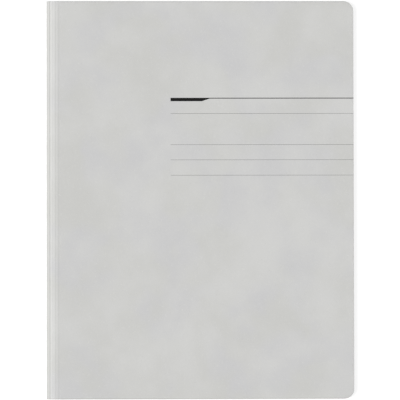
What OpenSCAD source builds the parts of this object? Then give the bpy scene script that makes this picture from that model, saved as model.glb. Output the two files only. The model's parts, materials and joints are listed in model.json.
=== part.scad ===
// Flap folder for A4 sheets, closed, lying on its rear cover with the spine at -X and its top at +Y.
// One creased sheet of card: each panel between two creases is a piece, and it turns about its crease.

/* [Card] */
// Thickness of the card
card_t = 0.5; // [0.35:0.05:0.7]
// Clear space between one layer of card and the next in the closed folder
layer_gap = 0.3; // [0.2:0.05:0.6]
// Clearance in a crease, between the round edge of one panel and the hollow edge of the next
crease_gap = 0.1; // [0.06:0.01:0.14]

/* [Covers] */
// Width of the closed folder, from the spine fold to the fore-edge
folder_w = 245.5; // [225:0.5:290]
// Height of the closed folder
folder_h = 318; // [300:1:360]
// Corner radius of both covers at the fore-edge
corner_r = 8; // [3:0.5:11]
// How far the front cover reaches past the folded side flap
side_overhang = 2; // [0.5:0.5:6]
// How far the front cover reaches past the folded top and bottom flaps
end_overhang = 1; // [0.5:0.5:4]

/* [Spine] */
// Width of each strip between two creases of the spine
strip_w = 2.4; // [2:0.1:4]
// Slope of the strip next to the spine fold, in degrees
first_slope = 19; // [12:1:26]

/* [Flaps] */
// Width of the strip between the two creases of each flap
gusset_w = 10; // [6:0.5:18]
// Depth of the top and bottom flaps, from fold to free edge
end_flap_d = 85; // [60:1:105]
// Depth of the side flap, from fold to free edge
side_flap_d = 100; // [70:1:115]
// Angle by which the ends of a flap run in towards its free edge
flap_taper = 15; // [12:1:25]
// Corner radius at the free edge of a flap
flap_corner_r = 12; // [4:1:20]
// Distance along a fold from the corner of the rear cover to the end of a flap
flap_setback = 12; // [11.5:0.5:20]
// Width of the shoulder of the rear cover, between the spine fold and the top and bottom flaps
spine_shoulder = 10; // [6:0.5:20]

/* [Hidden] */
$fn = 96;

card_colour = [0.80, 0.80, 0.79];
fold_colour = [0.86, 0.86, 0.85];

// The layers of card, counted up from the rear cover
end_layer = 1;
side_layer = 2;
cover_layer = 3;
layer_pitch = card_t + layer_gap;
function layer_mid(k) = card_t / 2 + k * layer_pitch;

// A fold that brings layer k over the rear cover is round, and its axis lies midway between the two layers
function fold_r(k) = card_t / 2 + k * layer_pitch / 2;
spine_r = fold_r(1);
end_r = fold_r(end_layer);
side_r = fold_r(side_layer);

// Where the four folds lie
spine_x = -folder_w / 2 + spine_r;
side_x = folder_w / 2 - side_overhang - side_r;
end_y = folder_h / 2 - end_overhang - end_r;

// The shoulder beside the spine runs down at 45 degrees to the line of the flaps, with a small relief
shoulder_x = spine_x + spine_shoulder;
shoulder_drop = folder_h / 2 - end_y;
flap_relief = 0.5;
end_flap_x0 = shoulder_x + shoulder_drop + flap_relief;
end_flap_x1 = side_x - flap_setback;
side_flap_y1 = end_y - flap_setback;

// The spine's strips climb from the fold to the front cover, each flatter than the one before
strip_count = 4;
rise_shares = [0.6, 0.3, 0.1];
fold_arm = spine_r - card_t / 2;
first_start = [spine_x - fold_arm * sin(first_slope), spine_r + fold_arm * cos(first_slope)];
first_end = first_start + strip_w * [cos(first_slope), sin(first_slope)];
rise_left = layer_mid(cover_layer) - first_end[1];
function strip_slope(i) = i == 1 ? first_slope : asin(rise_left * rise_shares[i - 2] / strip_w);
// Crease i lies at the end of strip i, on the middle plane of the card, as [x, z]
function crease(i) = i == 0 ? first_start
    : crease(i - 1) + strip_w * [cos(strip_slope(i)), sin(strip_slope(i))];
cover_x0 = crease(strip_count)[0];

// The round edge at a small crease, and the hollow that it turns in
nose_r = card_t / 2;
socket_r = nose_r + crease_gap;

// An upright profile in X and Z, drawn along Y
module along_y(length) {
    rotate([90, 0, 0])
        linear_extrude(height = length, center = true)
            children();
}

// A cover's outline from the spine side x0 to the fore-edge x1, with the fore-edge corners rounded
module cover_outline(x0, x1, half_h, r) {
    translate([x0, -half_h])
        square([x1 - r - x0, 2 * half_h]);
    translate([x0, -half_h + r])
        square([x1 - x0, 2 * (half_h - r)]);
    for (side = [-1, 1])
        translate([x1 - r, side * (half_h - r)])
            circle(r);
}

// A flap's outline with its fold on the Y axis from y0 to y1. It reaches to -X and narrows by the taper.
module flap_outline(y0, y1, depth) {
    middle = (y0 + y1) / 2;
    half_fold = (y1 - y0) / 2;
    r = flap_corner_r;
    round_x = r - depth;
    round_y = half_fold + round_x * tan(flap_taper) - r / cos(flap_taper);
    edge_x = round_x - r * sin(flap_taper);
    edge_y = round_y + r * cos(flap_taper);
    translate([0, middle]) {
        polygon([
            [0, -half_fold], [0, half_fold], [edge_x, edge_y], [-depth, round_y],
            [-depth, -round_y], [edge_x, -edge_y]
        ]);
        for (side = [-1, 1])
            translate([round_x, side * round_y])
                circle(r);
    }
}

// The full height of the closed folder, as a prism of a flap's outline
module flap_prism(y0, y1, depth) {
    linear_extrude(height = layer_mid(cover_layer + 1))
        flap_outline(y0, y1, depth);
}

// The strip between a flap's two creases: hollow where it turns about its fold, round where the flap turns
module gusset(y0, y1, depth, k) {
    intersection() {
        translate([0, (y0 + y1) / 2, 0])
            along_y(y1 - y0)
                difference() {
                    union() {
                        translate([-gusset_w, layer_mid(k) - card_t / 2])
                            square([gusset_w, card_t]);
                        translate([-gusset_w, layer_mid(k)])
                            circle(nose_r);
                    }
                    translate([0, fold_r(k)])
                        circle(fold_r(k) + crease_gap);
                }
        flap_prism(y0, y1, depth);
    }
}

// The flap itself, from its second crease to its free edge
module flap(y0, y1, depth, k) {
    intersection() {
        translate([0, (y0 + y1) / 2, 0])
            along_y(y1 - y0)
                difference() {
                    translate([-depth, layer_mid(k) - card_t / 2])
                        square([depth - gusset_w, card_t]);
                    translate([-gusset_w, layer_mid(k)])
                        circle(socket_r);
                }
        flap_prism(y0, y1, depth);
    }
}

// A round fold along the Y axis from y0 to y1, with its lowest line on the table
module fold_bead(y0, y1, r) {
    translate([0, (y0 + y1) / 2, r])
        rotate([90, 0, 0])
            cylinder(r = r, h = y1 - y0, center = true);
}

// The room that a round fold takes out of the edge of the rear cover
module fold_room(y0, y1, r) {
    translate([0, (y0 + y1) / 2, r])
        rotate([90, 0, 0])
            cylinder(r = r + crease_gap, h = y1 - y0 + 2 * crease_gap, center = true);
}

// Carries a flap drawn at the Y axis to the top, bottom or fore-edge of the rear cover
module at_top() {
    translate([0, end_y, 0])
        rotate([0, 0, 90])
            children();
}

module at_bottom() {
    mirror([0, 1, 0])
        at_top()
            children();
}

module at_side() {
    translate([side_x, 0, 0])
        children();
}

module rear_cover() {
    color(card_colour)
        difference() {
            linear_extrude(height = card_t) {
                cover_outline(spine_x, side_x, end_y, corner_r);
                polygon([
                    [spine_x, -folder_h / 2], [shoulder_x, -folder_h / 2],
                    [shoulder_x + shoulder_drop, -end_y], [shoulder_x + shoulder_drop, end_y],
                    [shoulder_x, folder_h / 2], [spine_x, folder_h / 2]
                ]);
            }
            translate([spine_x, 0, 0])
                fold_room(-folder_h / 2, folder_h / 2, spine_r);
            at_top()
                fold_room(-end_flap_x1, -end_flap_x0, end_r);
            at_bottom()
                fold_room(-end_flap_x1, -end_flap_x0, end_r);
            at_side()
                fold_room(-side_flap_y1, side_flap_y1, side_r);
        }
}

module spine_fold() {
    color(fold_colour)
        translate([spine_x, 0, 0])
            fold_bead(-folder_h / 2, folder_h / 2, spine_r);
}

module top_fold() {
    color(fold_colour)
        at_top()
            fold_bead(-end_flap_x1, -end_flap_x0, end_r);
}

module bottom_fold() {
    color(fold_colour)
        at_bottom()
            fold_bead(-end_flap_x1, -end_flap_x0, end_r);
}

module side_fold() {
    color(fold_colour)
        at_side()
            fold_bead(-side_flap_y1, side_flap_y1, side_r);
}

// Strip i of the spine: hollow at the crease before it, round at the crease after it
module spine_strip(i) {
    color(fold_colour)
        along_y(folder_h)
            difference() {
                union() {
                    translate(crease(i - 1))
                        rotate(strip_slope(i))
                            translate([0, -card_t / 2])
                                square([strip_w, card_t]);
                    translate(crease(i))
                        circle(nose_r);
                }
                if (i == 1)
                    translate([spine_x, spine_r])
                        circle(spine_r + crease_gap);
                else
                    translate(crease(i - 1))
                        circle(socket_r);
            }
}

module front_cover() {
    color(card_colour)
        difference() {
            translate([0, 0, layer_mid(cover_layer) - card_t / 2])
                linear_extrude(height = card_t)
                    cover_outline(cover_x0, folder_w / 2, folder_h / 2, corner_r);
            along_y(folder_h + 2 * crease_gap)
                translate(crease(strip_count))
                    circle(socket_r);
        }
}

module top_gusset() {
    color(fold_colour)
        at_top()
            gusset(-end_flap_x1, -end_flap_x0, end_flap_d, end_layer);
}

module top_flap() {
    color(card_colour)
        at_top()
            flap(-end_flap_x1, -end_flap_x0, end_flap_d, end_layer);
}

module bottom_gusset() {
    color(fold_colour)
        at_bottom()
            gusset(-end_flap_x1, -end_flap_x0, end_flap_d, end_layer);
}

module bottom_flap() {
    color(card_colour)
        at_bottom()
            flap(-end_flap_x1, -end_flap_x0, end_flap_d, end_layer);
}

module side_gusset() {
    color(fold_colour)
        at_side()
            gusset(-side_flap_y1, side_flap_y1, side_flap_d, side_layer);
}

module side_flap() {
    color(card_colour)
        at_side()
            flap(-side_flap_y1, side_flap_y1, side_flap_d, side_layer);
}

rear_cover();
spine_fold();
top_fold();
bottom_fold();
side_fold();
for (i = [1:strip_count])
    spine_strip(i);
front_cover();
top_gusset();
top_flap();
bottom_gusset();
bottom_flap();
side_gusset();
side_flap();
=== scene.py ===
"""Looks of the flap folder: one creased sheet of cloud-marbled card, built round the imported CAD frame.

Lengths are in metres, in the CAD frame: the spine is at -X, the top at +Y, and the front cover looks to +Z.
"""
import json
import math
from collections import namedtuple

import bmesh
import bpy
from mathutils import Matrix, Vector
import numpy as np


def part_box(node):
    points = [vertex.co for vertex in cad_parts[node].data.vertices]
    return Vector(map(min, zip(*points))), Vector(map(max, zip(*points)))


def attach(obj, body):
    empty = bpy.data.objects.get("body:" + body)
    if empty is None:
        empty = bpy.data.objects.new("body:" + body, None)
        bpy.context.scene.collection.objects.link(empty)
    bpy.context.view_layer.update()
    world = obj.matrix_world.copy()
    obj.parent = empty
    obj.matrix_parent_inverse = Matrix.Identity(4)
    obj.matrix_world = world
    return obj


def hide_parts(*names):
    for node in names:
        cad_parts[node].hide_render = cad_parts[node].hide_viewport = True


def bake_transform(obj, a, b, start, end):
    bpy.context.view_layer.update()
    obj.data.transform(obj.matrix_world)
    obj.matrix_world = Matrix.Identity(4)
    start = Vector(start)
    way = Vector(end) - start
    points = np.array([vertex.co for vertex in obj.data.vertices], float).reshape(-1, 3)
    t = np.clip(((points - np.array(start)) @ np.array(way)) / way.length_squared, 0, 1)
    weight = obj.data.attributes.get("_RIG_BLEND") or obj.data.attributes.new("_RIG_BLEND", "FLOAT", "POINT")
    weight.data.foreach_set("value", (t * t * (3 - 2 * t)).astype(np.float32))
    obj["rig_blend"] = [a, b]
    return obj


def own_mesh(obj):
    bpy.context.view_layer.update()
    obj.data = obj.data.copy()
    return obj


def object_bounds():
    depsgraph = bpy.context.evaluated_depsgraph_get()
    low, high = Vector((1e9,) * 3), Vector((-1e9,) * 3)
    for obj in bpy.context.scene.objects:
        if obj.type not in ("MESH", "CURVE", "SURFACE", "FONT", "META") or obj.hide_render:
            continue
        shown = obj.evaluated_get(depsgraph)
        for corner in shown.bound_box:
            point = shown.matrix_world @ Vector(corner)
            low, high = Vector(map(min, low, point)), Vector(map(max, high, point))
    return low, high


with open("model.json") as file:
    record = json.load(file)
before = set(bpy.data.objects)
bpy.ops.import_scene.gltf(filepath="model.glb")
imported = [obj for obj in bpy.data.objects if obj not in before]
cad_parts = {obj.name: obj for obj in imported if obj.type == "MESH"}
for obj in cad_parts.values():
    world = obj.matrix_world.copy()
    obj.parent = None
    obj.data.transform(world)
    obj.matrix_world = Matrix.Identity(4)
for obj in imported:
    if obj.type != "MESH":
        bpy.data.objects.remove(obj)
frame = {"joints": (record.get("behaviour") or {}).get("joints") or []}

cad_low, cad_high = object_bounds()
MM = 0.001

# Outlines of the panels. Beside a crease, the painted shade of a cut edge comes in over CUT_FADE
CORNER_R = 8 * MM
CORNER_STEPS = 14
FLAP_CORNER_R = 12 * MM
FLAP_TAPER = math.radians(15)
FLAP_RELIEF = 0.5 * MM
CUT_FADE = 2 * MM
EDGE_SLACK = 0.1 * MM
SHARP_ANGLE = math.radians(15)

# How an edge is rounded, from the face outwards: inset of the outline, depth under the face, share of painted
# shade
# Painted shade: the card is drawn darker along its rounded cut edges, where they turn from the light
EdgeStep = namedtuple("EdgeStep", "inset depth shade")
SHEET_EDGE = (
    EdgeStep(1.5 * MM, 0, 0),
    EdgeStep(0.7 * MM, 0, 0.3),
    EdgeStep(0.06 * MM, 0.015 * MM, 0.55),
    EdgeStep(0, 0.07 * MM, 1),
)
STRIP_EDGE = (
    EdgeStep(0.04 * MM, 0, 1),
    EdgeStep(0, 0.04 * MM, 0.8),
    EdgeStep(0, 0.6 * MM, 0),
)
INK_T = 0.02 * MM
INK_EDGE = (
    EdgeStep(0.02 * MM, 0, 0),
    EdgeStep(0, INK_T / 3, 0),
)

# Main folds. A tucked bend is short by a tuck at its ends and by an angle at its sides
FOLD_STEPS = 18
SPINE_TUCK = 0.06 * MM
SIDE_TUCK = 0.5 * MM
TUCK_DEG = 2

# Spine creases, from the fold to the front cover: radius of the shoulders beside each groove, and painted
# shade in it.
# The painted shade reaches over GROOVE_REACH of the shoulder's radius
STRIP_COUNT = 4
GROOVE_R = (0, 0.22 * MM, 0.07 * MM, 0.08 * MM, 0.05 * MM)
GROOVE_PAINTED_SHADE = (0, 1.6, 0.2, 0.5, 0)
GROOVE_REACH = 0.8
SHOULDER_STEPS = 5

# The bead that stands up inside a spine crease, with points at these shares of its reach
BEAD_REACH = 0.35 * MM
BEAD_RISE = 0.06 * MM
BEAD_SHARES = (0, 0.3, 0.65, 1)

# The last strip's lip, which lies in the front cover's card and bridges the crease while the cover turns
LIP_REACH = 1.1 * MM
LIP_T = 0.3 * MM
LIP_TUCK = 0.2 * MM

# Second crease of each flap: a pressed score, cut across at these multiples of its reach
SCORE_REACH = 0.3 * MM
SCORE_DEPTH = 0.12 * MM
SCORE_BEND = 0.8 * MM
SCORE_CUTS = (-4, -2.6, -1.8, -1.2, -0.6, 0, 0.6, 1.2, 1.8, 2.6, 4)

# Wear: folds go pale. Painted shade darkens the spine's edge and the grooves of its creases, and little of it
# lies at the fore-edge
FOLD_WEAR = 0.4
CREASE_WEAR = 0.5
FORE_EDGE_SHADE = 0.1
SPINE_PAINTED_SHADE = 1.05
SPINE_SHADE_REACH = 3.6 * MM

# The printed rules on the front cover: a heading bar that slants into a long rule, and fine lines
PRINT_LEFT = -23.64 * MM
HEADING_TOP = 81.56 * MM
HEADING_H = 2.7 * MM
HEADING_RULE_W = 0.6 * MM
HEADING_SLANT_FOOT = 1.4 * MM
HEADING_SLANT_TIP = 7.7 * MM
RULED_LINES_Y = (69.0 * MM, 44.1 * MM, 31.98 * MM, 19.64 * MM)
RULED_LINE_W = 0.165 * MM

# Noise textures, laid out on the flat sheet
Noise = namedtuple("Noise", "scale detail roughness seed")
HUE_NOISE = Noise(24, 3, 0.5, 3.1)
CLOUD_NOISE = Noise(22, 2, 0.5, 9.4)
PATCH_NOISE = Noise(65, 4, 0.5, 9.2)
PATCH_SHARE = 0.4
GRAIN_NOISE = Noise(2600, 3, 0.6, 1.0)
INK_NOISE = Noise(1800, 4, 0.6, 2.5)

# Fibres are grain drawn out along a direction and a little bent
Fibres = namedtuple("Fibres", "turn seed")
FIBRE_STRETCH = 8
FIBRE_BEND = 0.4
PALE_FIBRES = (Fibres(0.5, 2.0), Fibres(1.9, 4.0))
DARK_FIBRES = (Fibres(1.2, 5.0), Fibres(2.7, 8.0))

# The range of a texture's values that shows, and the range that it is turned into
Spread = namedtuple("Spread", "low high to_low to_high", defaults=(0, 1))
WARM_SPREAD = Spread(0.4, 0.56)
MARBLING_SPREAD = Spread(0.5, 0.95, 0, 0.9)
PALE_FIBRE_SPREAD = Spread(0.58, 0.72, 0, 0.5)
DARK_FIBRE_SPREAD = Spread(0.6, 0.74, 0, 0.45)
GRAIN_SPREAD = Spread(0.56, 0.78, 0, 0.3)
WEAR_SPREAD = Spread(0.3, 0.6, 0.2, 0.7)
SHADE_SPREAD = Spread(0.3, 0.7, 0.5, 0.8)
THIN_INK_SPREAD = Spread(0.55, 0.85)
CARD_ROUGHNESS = Spread(0.35, 0.65, 0.58, 0.7)
INK_ROUGHNESS = Spread(0.3, 0.8, 0.5, 0.65)

# Sheen and fine relief of a surface
Surface = namedtuple("Surface", "specular bump_strength bump_depth")
CARD_SURFACE = Surface(0.3, 0.45, 0.02 * MM)
INK_SURFACE = Surface(0.15, 0.2, 0.01 * MM)

# The photograph's framing: size of a pixel on the front cover, the point in the middle, turn of the camera
IMAGE_PX = 400
PX = 0.7988 * MM
VIEW_CENTRE = (-0.216 * MM, -0.13 * MM)
VIEW_TURN = (math.radians(0.88), math.radians(-0.92), math.radians(-0.1))
LENS_MM = 200
SENSOR_MM = 36

# Light: what a level white surface gets from the key lamp and from all round adds up to 1
KEY_SHARE = 0.7
KEY_ELEVATION = math.radians(36)
KEY_AZIMUTH = math.radians(-8)
KEY_SOFTNESS = math.radians(35)

# Floor: its size, the gap under the folder, and the glow that makes it white to the camera
FLOOR_SIZE = 8
FLOOR_DROP = 0.05 * MM
FLOOR_GLOW = 0.85

# Places of the colours among the sockets of Blender's mix node
MIX_COLOUR_IN = (6, 7)
MIX_COLOUR_OUT = 2


def srgb(red, green, blue):
    """A colour as it shows on a screen, 0 to 255, as the linear colour that a shader takes."""
    linear = []
    for value in (red, green, blue):
        share = value / 255
        linear.append(share / 12.92 if share <= 0.04045 else ((share + 0.055) / 1.055) ** 2.4)
    return (*linear, 1)


CARD_COOL = srgb(199.7, 199.6, 200.3)
CARD_WARM = srgb(200.2, 200.1, 197.3)
CARD_LIGHT = srgb(207.7, 207.6, 205.8)
FIBRE_PALE = srgb(224, 224, 221)
FIBRE_DARK = srgb(180, 180, 178)
FOLD_PALE = srgb(216, 216, 213)
# Dark of the painted shade at cut edges, on the spine's fold and in its crease grooves
PAINTED_SHADE_DARK = srgb(176, 176, 172)
INK_BLACK = srgb(7, 7, 7)
INK_THIN = srgb(20, 20, 19)
FLOOR_PALE = srgb(240, 240, 240)
FLOOR_SHOWN = (0.25, 0.25, 0.25, 1)
WHITE = (1, 1, 1, 1)


# Places that the frame gives
joints = {joint["name"]: joint for joint in frame["joints"]}
rear_low, rear_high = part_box("rear_cover")
front_low, front_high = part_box("front_cover")
card_t = rear_high.z - rear_low.z
half_t = card_t / 2
half_h = cad_high.y


def axis_of(joint):
    return Vector(joints[joint]["pos_m"])


class Fold:
    """A main fold: where the rear cover ends and the card bends up and back over it."""

    def __init__(self, name, outward):
        self.name = name
        self.joint = f"{name}_fold_turn"
        self.node = f"{name}_fold"
        self.axis = axis_of(self.joint)
        self.outward = Vector(outward)
        self.along = Vector((abs(outward[1]), abs(outward[0]), 0))
        low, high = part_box(self.node)
        self.start = low.dot(self.along)
        self.end = high.dot(self.along)
        self.turn_deg = joints[self.joint]["range_deg"][1]
        self.middle_r = self.axis.z - half_t
        self.card_length = math.radians(self.turn_deg) * self.middle_r

    def place(self, distance, along, z):
        """A point by its distance outwards from the fold's axis, its place along the fold, and its height."""
        flat = self.axis + self.outward * distance + self.along * along
        return Vector((flat.x, flat.y, z))

    def outside(self, point):
        """How far outwards from the fold's axis a point is."""
        return (point - self.axis).dot(self.outward)

    def sheet(self, distance, point):
        """Where a point lies on the flat sheet, by its distance outwards from the fold along the card."""
        return self.place(distance, point.dot(self.along), 0)


spine = Fold("spine", (-1, 0, 0))
side = Fold("side", (1, 0, 0))
top = Fold("top", (0, 1, 0))
bottom = Fold("bottom", (0, -1, 0))

# The spine's creases as points in X and Z, from the end of the spine fold to the front cover
bend_end = math.radians(spine.turn_deg - 90)
spine_creases = [Vector((
    spine.axis.x - spine.middle_r * math.cos(bend_end),
    spine.axis.z + spine.middle_r * math.sin(bend_end),
))]
for number in range(1, STRIP_COUNT):
    crease_axis = axis_of(f"spine_crease_{number}")
    spine_creases.append(Vector((crease_axis.x, crease_axis.z)))
cover_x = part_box(f"spine_strip_{STRIP_COUNT}")[1].x - half_t
spine_creases.append(Vector((cover_x, (front_low.z + front_high.z) / 2)))


def arc(centre, radius, start_deg, end_deg, steps):
    """Points of an arc from one angle to the other, both included."""
    points = []
    for i in range(steps + 1):
        angle = math.radians(start_deg + (end_deg - start_deg) * i / steps)
        points.append(Vector((centre[0] + radius * math.cos(angle), centre[1] + radius * math.sin(angle))))
    return points


def inset_outline(outline, inset):
    """A closed outline, given anticlockwise, moved inwards."""
    moved = []
    count = len(outline)
    for i in range(count):
        before = (outline[i] - outline[i - 1]).normalized()
        after = (outline[(i + 1) % count] - outline[i]).normalized()
        normal_before = Vector((-before.y, before.x))
        normal_after = Vector((-after.y, after.x))
        mitre = (normal_before + normal_after) / (1 + normal_before.dot(normal_after))
        moved.append(outline[i] + mitre * inset)
    return moved


def soft_prism(outline, low, high, edge, place, cut_share=lambda point: 1):
    """A closed solid between two levels with rounded edges.

    place turns (u, v, level) into a point, and cut_share says how much of the cut edge's painted shade it
    takes.
    """
    mesh = bmesh.new()
    painted_shade_layer = mesh.verts.layers.float.new("shade")
    mesh.verts.layers.float.new("wear")
    steps = [(step.inset, low + step.depth, step.shade) for step in edge]
    steps += [(step.inset, high - step.depth, step.shade) for step in reversed(edge)]
    rings = []
    for inset, level, shade in steps:
        ring = [mesh.verts.new(place(point.x, point.y, level)) for point in inset_outline(outline, inset)]
        for vertex in ring:
            vertex[painted_shade_layer] = shade * cut_share(vertex.co)
        rings.append(ring)
    for lower, upper in zip(rings, rings[1:]):
        for i in range(len(lower)):
            mesh.faces.new((lower[i - 1], lower[i], upper[i], upper[i - 1]))
    mesh.faces.new(list(reversed(rings[0])))
    mesh.faces.new(rings[-1])
    return mesh


def finish_piece(name, mesh, material, sheet_of):
    """Turns a bmesh into an object. sheet_of gives a point's place on the flat, unfolded sheet."""
    bmesh.ops.recalc_face_normals(mesh, faces=mesh.faces)
    for face in mesh.faces:
        face.smooth = True
    data = bpy.data.meshes.new(name)
    mesh.to_mesh(data)
    mesh.free()
    data.set_sharp_from_angle(angle=SHARP_ANGLE)
    places = data.attributes.new("sheet_pos", "FLOAT_VECTOR", "POINT")
    for vertex, entry in zip(data.vertices, places.data):
        entry.vector = sheet_of(vertex.co)
    data.materials.append(material)
    piece = bpy.data.objects.new(name, data)
    bpy.context.scene.collection.objects.link(piece)
    return piece


class Nodes:
    """Builds a node tree in small steps. A value is a constant or a node's output."""

    def __init__(self, tree):
        self.tree = tree
        tree.nodes.clear()

    def add(self, kind):
        return self.tree.nodes.new(kind)

    def put(self, value, socket):
        """Gives a value to a node's input."""
        if isinstance(value, bpy.types.NodeSocket):
            self.tree.links.new(value, socket)
        else:
            socket.default_value = value

    def attribute(self, name, output):
        """What a piece's points say, such as how worn they are."""
        node = self.add("ShaderNodeAttribute")
        node.attribute_name = name
        return node.outputs[output]

    def noise(self, place, settings):
        """A noise texture's value, about 0.5 on average."""
        node = self.add("ShaderNodeTexNoise")
        node.noise_dimensions = "4D"
        self.put(place, node.inputs["Vector"])
        self.put(settings.scale, node.inputs["Scale"])
        self.put(settings.detail, node.inputs["Detail"])
        self.put(settings.roughness, node.inputs["Roughness"])
        self.put(settings.seed, node.inputs["W"])
        return node.outputs["Fac"]

    def fibres(self, place, settings):
        """A noise drawn out along one direction of the sheet and a little bent, like fibres in card."""
        node = self.add("ShaderNodeMapping")
        node.vector_type = "TEXTURE"
        self.put((0, 0, settings.turn), node.inputs["Rotation"])
        self.put((FIBRE_STRETCH, 1, 1), node.inputs["Scale"])
        self.put(place, node.inputs["Vector"])
        value = self.noise(node.outputs["Vector"], GRAIN_NOISE._replace(seed=settings.seed))
        self.put(FIBRE_BEND, value.node.inputs["Distortion"])
        return value

    def maths(self, operation, first, second):
        """One step of arithmetic."""
        node = self.add("ShaderNodeMath")
        node.operation = operation
        self.put(first, node.inputs[0])
        self.put(second, node.inputs[1])
        return node.outputs["Value"]

    def spread(self, value, settings):
        """A value mapped softly from one range to another and held inside it."""
        node = self.add("ShaderNodeMapRange")
        node.interpolation_type = "SMOOTHSTEP"
        self.put(value, node.inputs["Value"])
        self.put(settings.low, node.inputs["From Min"])
        self.put(settings.high, node.inputs["From Max"])
        self.put(settings.to_low, node.inputs["To Min"])
        self.put(settings.to_high, node.inputs["To Max"])
        return node.outputs["Result"]

    def mix(self, share, first, second):
        """A colour between two."""
        node = self.add("ShaderNodeMix")
        node.data_type = "RGBA"
        self.put(share, node.inputs["Factor"])
        for colour, socket in zip((first, second), MIX_COLOUR_IN):
            self.put(colour, node.inputs[socket])
        return node.outputs[MIX_COLOUR_OUT]

    def surface(self, colour, roughness, relief, settings):
        """A shader with sheen and fine relief."""
        bump = self.add("ShaderNodeBump")
        self.put(settings.bump_strength, bump.inputs["Strength"])
        self.put(settings.bump_depth, bump.inputs["Distance"])
        self.put(relief, bump.inputs["Height"])
        shader = self.add("ShaderNodeBsdfPrincipled")
        self.put(colour, shader.inputs["Base Color"])
        self.put(roughness, shader.inputs["Roughness"])
        self.put(settings.specular, shader.inputs["Specular IOR Level"])
        self.put(bump.outputs["Normal"], shader.inputs["Normal"])
        return shader.outputs["BSDF"]

    def matt(self, colour):
        shader = self.add("ShaderNodeBsdfDiffuse")
        self.put(colour, shader.inputs["Color"])
        return shader.outputs["BSDF"]

    def background(self, strength):
        shader = self.add("ShaderNodeBackground")
        self.put(WHITE, shader.inputs["Color"])
        self.put(strength, shader.inputs["Strength"])
        return shader.outputs["Background"]

    def lit_or_seen(self, lit, seen):
        """One shader for the rays that carry light, and another for what the camera sees."""
        path = self.add("ShaderNodeLightPath")
        share = self.maths("MAXIMUM", path.outputs["Is Camera Ray"], path.outputs["Is Glossy Ray"])
        share = self.maths("MAXIMUM", share, path.outputs["Is Transmission Ray"])
        choice = self.add("ShaderNodeMixShader")
        self.put(share, choice.inputs["Fac"])
        self.put(lit, choice.inputs[1])
        self.put(seen, choice.inputs[2])
        return choice.outputs["Shader"]

    def finish(self, output, shader):
        node = self.add(output)
        self.put(shader, node.inputs["Surface"])


def new_material(name):
    material = bpy.data.materials.new(name)
    material.use_nodes = True
    return material, Nodes(material.node_tree)


def card_material():
    """Press-finished grey card: soft cloud marbling, fibres, paler folds, and painted shade that makes the
    cut edges slightly darker and darkens the spine.
    """
    material, nodes = new_material("marbled_card")
    place = nodes.attribute("sheet_pos", "Vector")
    hue = nodes.noise(place, HUE_NOISE)
    clouds = nodes.noise(place, CLOUD_NOISE)
    patches = nodes.noise(place, PATCH_NOISE)
    marbling = nodes.maths("ADD", clouds, nodes.maths("MULTIPLY", patches, PATCH_SHARE))
    grain = nodes.noise(place, GRAIN_NOISE)
    pale_fibres = nodes.maths("MAXIMUM", *[nodes.fibres(place, fibres) for fibres in PALE_FIBRES])
    dark_fibres = nodes.maths("MAXIMUM", *[nodes.fibres(place, fibres) for fibres in DARK_FIBRES])
    wear = nodes.maths("MULTIPLY", nodes.attribute("wear", "Fac"), nodes.spread(grain, WEAR_SPREAD))
    # Painted shade: darker at cut edges, at the spine's fold and in its crease grooves, more in some patches
    shade = nodes.maths("MULTIPLY", nodes.attribute("shade", "Fac"), nodes.spread(patches, SHADE_SPREAD))

    colour = nodes.mix(nodes.spread(hue, WARM_SPREAD), CARD_COOL, CARD_WARM)
    colour = nodes.mix(nodes.spread(marbling, MARBLING_SPREAD), colour, CARD_LIGHT)
    colour = nodes.mix(nodes.spread(pale_fibres, PALE_FIBRE_SPREAD), colour, FIBRE_PALE)
    colour = nodes.mix(nodes.spread(dark_fibres, DARK_FIBRE_SPREAD), colour, FIBRE_DARK)
    colour = nodes.mix(nodes.spread(grain, GRAIN_SPREAD), colour, FIBRE_DARK)
    colour = nodes.mix(wear, colour, FOLD_PALE)
    colour = nodes.mix(shade, colour, PAINTED_SHADE_DARK)

    roughness = nodes.spread(dark_fibres, CARD_ROUGHNESS)
    relief = nodes.maths("ADD", grain, pale_fibres)
    nodes.finish("ShaderNodeOutputMaterial", nodes.surface(colour, roughness, relief, CARD_SURFACE))
    return material


def ink_material():
    """Black printing ink that lies a little unevenly on the card's fibres."""
    material, nodes = new_material("printed_ink")
    cover = nodes.noise(nodes.attribute("sheet_pos", "Vector"), INK_NOISE)
    colour = nodes.mix(nodes.spread(cover, THIN_INK_SPREAD), INK_BLACK, INK_THIN)
    roughness = nodes.spread(cover, INK_ROUGHNESS)
    nodes.finish("ShaderNodeOutputMaterial", nodes.surface(colour, roughness, cover, INK_SURFACE))
    return material


def floor_material():
    """Pale and matt, and white to the camera where no shadow falls."""
    material, nodes = new_material("pale_floor")
    glow = nodes.add("ShaderNodeEmission")
    nodes.put(FLOOR_GLOW, glow.inputs["Strength"])
    seen = nodes.add("ShaderNodeAddShader")
    nodes.put(nodes.matt(FLOOR_SHOWN), seen.inputs[0])
    nodes.put(glow.outputs["Emission"], seen.inputs[1])
    nodes.finish(
        "ShaderNodeOutputMaterial", nodes.lit_or_seen(nodes.matt(FLOOR_PALE), seen.outputs["Shader"])
    )
    return material


card = card_material()
ink = ink_material()


def level_point(x, y, z):
    return Vector((x, y, z))


def upright_point(x, z, y):
    return Vector((x, y, z))


# Rear cover: shoulders beside the spine, round fore-edge corners, and straight edges where the flaps fold
end_y = top.axis.y
side_x = side.axis.x
shoulder_drop = half_h - end_y
shoulder_x = top.start - FLAP_RELIEF - shoulder_drop
rear_corner = (side_x - CORNER_R, end_y - CORNER_R)
upper_rear = [
    Vector((side_x, side.end)),
    *arc(rear_corner, CORNER_R, 0, 90, CORNER_STEPS),
    Vector((top.end, end_y)),
    Vector((top.start, end_y)),
    Vector((shoulder_x + shoulder_drop, end_y)),
    Vector((shoulder_x, half_h)),
    Vector((spine.axis.x + CUT_FADE, half_h)),
    Vector((spine.axis.x, half_h)),
]
rear_outline = [Vector((point.x, -point.y)) for point in reversed(upper_rear)] + upper_rear


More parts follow.
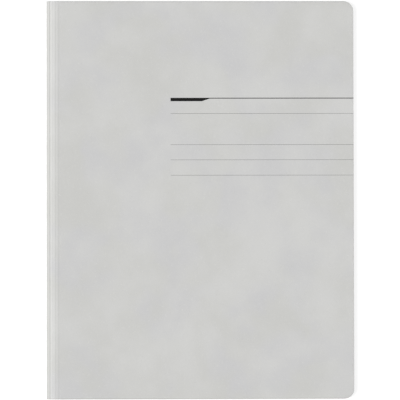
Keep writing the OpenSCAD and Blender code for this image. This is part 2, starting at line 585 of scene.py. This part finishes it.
def rear_cut_share(point):
    """The painted shade of the rear cover's edge: none beside a fold."""
    at_spine = point.x < spine.axis.x + CUT_FADE / 2
    at_end_flap = top.start - EDGE_SLACK < point.x < top.end + EDGE_SLACK
    at_side_flap = side.start - EDGE_SLACK < point.y < side.end + EDGE_SLACK
    return 0 if at_spine or at_end_flap or at_side_flap else 1


rear_mesh = soft_prism(rear_outline, rear_low.z, rear_high.z, SHEET_EDGE, level_point, rear_cut_share)
rear_sheet = finish_piece("rear_cover_sheet", rear_mesh, card, lambda point: (point.x, point.y, 0))
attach(rear_sheet, "rear")
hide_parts("rear_cover")

# Front cover: square corners at the spine, round ones at the fore-edge
front_corner = (front_high.x - CORNER_R, half_h - CORNER_R)
front_outline = [
    Vector((cover_x, -half_h)),
    Vector((cover_x + CUT_FADE, -half_h)),
    *arc((front_corner[0], -front_corner[1]), CORNER_R, -90, 0, CORNER_STEPS),
    *arc(front_corner, CORNER_R, 0, 90, CORNER_STEPS),
    Vector((cover_x + CUT_FADE, half_h)),
    Vector((cover_x, half_h)),
]


def front_cut_share(point):
    """The painted shade of the front cover's edge: none at its crease, and little at the fore-edge."""
    if point.x < cover_x + CUT_FADE / 2:
        return 0
    past_corner = max(0, (abs(point.y) - front_corner[1]) / CORNER_R)
    return FORE_EDGE_SHADE + (1 - FORE_EDGE_SHADE) * past_corner


front_mesh = soft_prism(front_outline, front_low.z, front_high.z, SHEET_EDGE, level_point, front_cut_share)
to_cover = spine.card_length + sum((b - a).length for a, b in zip(spine_creases, spine_creases[1:]))
front_sheet = finish_piece(
    "front_cover_sheet", front_mesh, card,
    lambda point: spine.sheet(to_cover + point.x - cover_x, point),
)
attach(front_sheet, "front")
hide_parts("front_cover")


def fold_bend(fold, wear, painted_darkness, tuck):
    """The card bent round a fold, from the edge of the rear cover to the panel that turns.

    With a tuck, a bend is made a little short all round, so that it fits inside the card.
    """
    outer_r = fold.axis.z
    short_deg = TUCK_DEG if tuck else 0
    start_deg = short_deg - 90
    end_deg = fold.turn_deg - 90 - short_deg
    outline = arc((0, outer_r), outer_r, start_deg, end_deg, FOLD_STEPS)
    outline += reversed(arc((0, outer_r), outer_r - card_t, start_deg, end_deg, FOLD_STEPS))
    mesh = soft_prism(
        outline, fold.start + tuck, fold.end - tuck, STRIP_EDGE,
        lambda outwards, height, along: fold.place(outwards, along, height),
    )
    wear_layer = mesh.verts.layers.float["wear"]
    painted_shade_layer = mesh.verts.layers.float["shade"]
    # Outer half of the bend: paler with wear, and darker with painted shade where the spine's fold turns from
    # the light
    for vertex in mesh.verts:
        reach = math.hypot(fold.outside(vertex.co), vertex.co.z - fold.axis.z)
        if reach > fold.middle_r:
            vertex[wear_layer] = wear
            vertex[painted_shade_layer] = max(vertex[painted_shade_layer], painted_darkness)

    def on_sheet(point):
        angle_deg = math.degrees(math.atan2(point.z - fold.axis.z, fold.outside(point))) + 90
        return fold.sheet(fold.card_length * angle_deg / fold.turn_deg, point)

    piece = finish_piece(f"{fold.node}_bend", mesh, card, on_sheet)
    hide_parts(fold.node)
    return piece


# The spine and side folds open right out, and their bends stay on the rear cover
# The spine's bend takes painted shade, as it turns from the light; the side's bend goes pale with wear
for fold, wear, painted_darkness, tuck in ((spine, 0, SPINE_PAINTED_SHADE, SPINE_TUCK), (side, FOLD_WEAR, 0, SIDE_TUCK)):
    bend = fold_bend(fold, wear, painted_darkness, tuck)
    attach(bend, "rear")
    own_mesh(bend)

# The top and bottom folds bend between the rear cover and the strip beside the fold
for fold, strip_body in ((top, "top_strip"), (bottom, "bottom_strip")):
    bend = fold_bend(fold, FOLD_WEAR, 0, 0)
    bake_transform(bend, "rear", strip_body, start=fold.place(0, 0, 0), end=fold.place(0, 0, 2 * fold.axis.z))


def strip_profile(start, end, start_r, end_r, lip):
    """A spine strip in X and Z: rounded shoulders on the outside, half a bead on the inside at each crease.

    A lip, if any, goes on past the strip's end in the middle of the card.
    """
    along = (end - start).normalized()
    up = Vector((-along.y, along.x))
    length = (end - start).length
    bead = []
    for share in BEAD_SHARES:
        bead.append((share * BEAD_REACH, BEAD_RISE * (1 + math.cos(math.pi * share)) / 2))
    points = [(distance, -half_t - (rise if start_r else 0)) for distance, rise in bead]
    points += [(length - distance, -half_t - rise) for distance, rise in reversed(bead)]
    if lip:
        points += [
            (length, -LIP_T / 2),
            (length + lip, -LIP_T / 2),
            (length + lip, LIP_T / 2),
            (length, LIP_T / 2),
        ]
    points += arc((length - end_r, half_t - end_r), end_r, 0, 90, SHOULDER_STEPS)
    if start_r:
        points += arc((start_r, half_t - start_r), start_r, 90, 180, SHOULDER_STEPS)
    else:
        points.append((0, half_t))
    return [start + along * distance + up * height for distance, height in points]


def spine_strip(number, before):
    """Makes a strip of the spine, and gives the length of card up to its end.

    before is the length of card between the rear cover and the strip's first crease.
    """
    start, end = spine_creases[number - 1], spine_creases[number]
    start_r, end_r = GROOVE_R[number - 1], GROOVE_R[number]
    along = (end - start).normalized()
    length = (end - start).length

    def from_start(point):
        return (Vector((point.x, point.z)) - start).dot(along)

    profile = strip_profile(start, end, start_r, end_r, LIP_REACH if number == STRIP_COUNT else 0)
    mesh = soft_prism(profile, spine.start, spine.end, STRIP_EDGE, upright_point)
    painted_shade_layer = mesh.verts.layers.float["shade"]
    for vertex in mesh.verts:
        # Painted shade: strongest at the spine's outer edge, fading inwards over its reach
        painted_darkness = SPINE_PAINTED_SHADE * max(0, 1 - (vertex.co.x - cad_low.x) / SPINE_SHADE_REACH)
        distance = from_start(vertex.co)
        if distance > length + LIP_REACH / 2:
            vertex.co.y *= 1 - LIP_TUCK / half_h
        # Painted shade in the grooves beside the creases, where shade falls
        if distance < GROOVE_REACH * start_r:
            painted_darkness = max(painted_darkness, GROOVE_PAINTED_SHADE[number - 1])
        if distance > length - GROOVE_REACH * end_r:
            painted_darkness = max(painted_darkness, GROOVE_PAINTED_SHADE[number])
        vertex[painted_shade_layer] = max(vertex[painted_shade_layer], painted_darkness)
    piece = finish_piece(
        f"spine_strip_{number}_card", mesh, card,
        lambda point: spine.sheet(before + from_start(point), point),
    )
    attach(piece, f"spine_{number}")
    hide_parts(f"spine_strip_{number}")
    return before + length


card_so_far = spine.card_length
for number in range(1, STRIP_COUNT + 1):
    card_so_far = spine_strip(number, card_so_far)


def flap_outline(low, high, depth):
    """A flap as (distance from its fold, place along it): its ends run in, its free corners are round."""
    middle = (low + high) / 2
    slope = math.tan(FLAP_TAPER)
    corner_d = depth - FLAP_CORNER_R
    corner_e = (high - low) / 2 - corner_d * slope - FLAP_CORNER_R / math.cos(FLAP_TAPER)
    corner_deg = 90 - math.degrees(FLAP_TAPER)
    return [
        Vector((0, low)),
        Vector((CUT_FADE, low + CUT_FADE * slope)),
        *arc((corner_d, middle - corner_e), FLAP_CORNER_R, -corner_deg, 0, CORNER_STEPS),
        *arc((corner_d, middle + corner_e), FLAP_CORNER_R, 0, corner_deg, CORNER_STEPS),
        Vector((CUT_FADE, high - CUT_FADE * slope)),
        Vector((0, high)),
    ]


def press_score(mesh, fold, crease_d):
    """Cuts a flap across its second crease and presses it in there: a groove outside and a bead inside."""
    origin = fold.place(-crease_d, 0, 0)
    for cut in SCORE_CUTS:
        bmesh.ops.bisect_plane(
            mesh, geom=[*mesh.verts, *mesh.edges, *mesh.faces],
            plane_co=origin + fold.outward * (cut * SCORE_REACH), plane_no=fold.outward,
        )
    wear_layer = mesh.verts.layers.float["wear"]
    for vertex in mesh.verts:
        press = math.exp(-((fold.outside(vertex.co) + crease_d) / SCORE_REACH) ** 2)
        vertex.co.z -= SCORE_DEPTH * press
        vertex[wear_layer] = CREASE_WEAR * press


def flap_sheet(fold):
    """A flap with the strip beside its fold, as one sheet that bends at its second crease."""
    panel_low, panel_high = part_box(f"{fold.name}_flap")
    depth = -min(fold.outside(panel_low), fold.outside(panel_high))
    crease_d = -fold.outside(axis_of(f"{fold.name}_flap_crease"))
    mesh = soft_prism(
        flap_outline(fold.start, fold.end, depth), panel_low.z, panel_high.z, SHEET_EDGE,
        lambda distance, along, height: fold.place(-distance, along, height),
        lambda point: 1 if fold.outside(point) < -CUT_FADE / 2 else 0,
    )
    press_score(mesh, fold, crease_d)
    piece = finish_piece(
        f"{fold.name}_flap_sheet", mesh, card,
        lambda point: fold.sheet(fold.card_length - fold.outside(point), point),
    )
    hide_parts(f"{fold.name}_gusset", f"{fold.name}_flap")
    level = (panel_low.z + panel_high.z) / 2
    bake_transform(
        piece, f"{fold.name}_strip", fold.name,
        start=fold.place(SCORE_BEND - crease_d, 0, level), end=fold.place(-SCORE_BEND - crease_d, 0, level),
    )


flap_sheet(top)
flap_sheet(bottom)
flap_sheet(side)

# Print: it runs to where the fore-edge is rounded, and there it reaches down to the card
edge_round = SHEET_EDGE[2]
print_right = front_high.x - edge_round.inset
print_low = front_high.z - edge_round.depth
print_high = front_high.z + INK_T


def printed(name, outline):
    """A thin film of ink on the front cover."""
    mesh = soft_prism(outline, print_low, print_high, INK_EDGE, level_point)
    piece = finish_piece(name, mesh, ink, lambda point: point)
    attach(piece, "front")


heading_foot = HEADING_TOP - HEADING_H
rule_foot = HEADING_TOP - HEADING_RULE_W
printed("heading_rule", [
    Vector((PRINT_LEFT, heading_foot)),
    Vector((HEADING_SLANT_FOOT, heading_foot)),
    Vector((HEADING_SLANT_TIP, rule_foot)),
    Vector((print_right, rule_foot)),
    Vector((print_right, HEADING_TOP)),
    Vector((PRINT_LEFT, HEADING_TOP)),
])
for number, line_y in enumerate(RULED_LINES_Y, 1):
    line_foot = line_y - RULED_LINE_W / 2
    line_head = line_y + RULED_LINE_W / 2
    printed(f"ruled_line_{number}", [
        Vector((PRINT_LEFT, line_foot)),
        Vector((print_right, line_foot)),
        Vector((print_right, line_head)),
        Vector((PRINT_LEFT, line_head)),
    ])

# Floor: a wide level plane just under the folder
floor_half = FLOOR_SIZE / 2
floor_corners = [
    (-floor_half, -floor_half, -FLOOR_DROP),
    (floor_half, -floor_half, -FLOOR_DROP),
    (floor_half, floor_half, -FLOOR_DROP),
    (-floor_half, floor_half, -FLOOR_DROP),
]
floor_data = bpy.data.meshes.new("floor")
floor_data.from_pydata(floor_corners, [], [(0, 1, 2, 3)])
floor_data.materials.append(floor_material())
floor = bpy.data.objects.new("floor", floor_data)
bpy.context.scene.collection.objects.link(floor)

# Light: one soft key lamp from the spine side and an even light from all round
key_data = bpy.data.lights.new("key", "SUN")
key_data.energy = KEY_SHARE * math.pi / math.sin(KEY_ELEVATION)
key_data.angle = KEY_SOFTNESS
key = bpy.data.objects.new("key", key_data)
key_from = Vector((
    -math.cos(KEY_ELEVATION) * math.cos(KEY_AZIMUTH),
    math.cos(KEY_ELEVATION) * math.sin(KEY_AZIMUTH),
    math.sin(KEY_ELEVATION),
))
key.rotation_euler = key_from.to_track_quat("Z", "Y").to_euler()
bpy.context.scene.collection.objects.link(key)

world = bpy.data.worlds.new("studio")
world.use_nodes = True
world_nodes = Nodes(world.node_tree)
around = world_nodes.background(1 - KEY_SHARE)
backdrop = world_nodes.background(1)
world_nodes.finish("ShaderNodeOutputWorld", world_nodes.lit_or_seen(around, backdrop))
bpy.context.scene.world = world

# Camera: almost straight down on the front cover, from far off
camera_data = bpy.data.cameras.new("camera")
camera_data.lens = LENS_MM
camera_data.sensor_width = SENSOR_MM
camera = bpy.data.objects.new("camera", camera_data)
camera_height = IMAGE_PX * PX * LENS_MM / SENSOR_MM
camera.rotation_euler = VIEW_TURN
camera.location = Vector((*VIEW_CENTRE, front_high.z))
camera.location += camera.rotation_euler.to_matrix() @ Vector((0, 0, camera_height))
bpy.context.scene.collection.objects.link(camera)
bpy.context.scene.camera = camera
bpy.context.scene.view_settings.view_transform = "Standard"
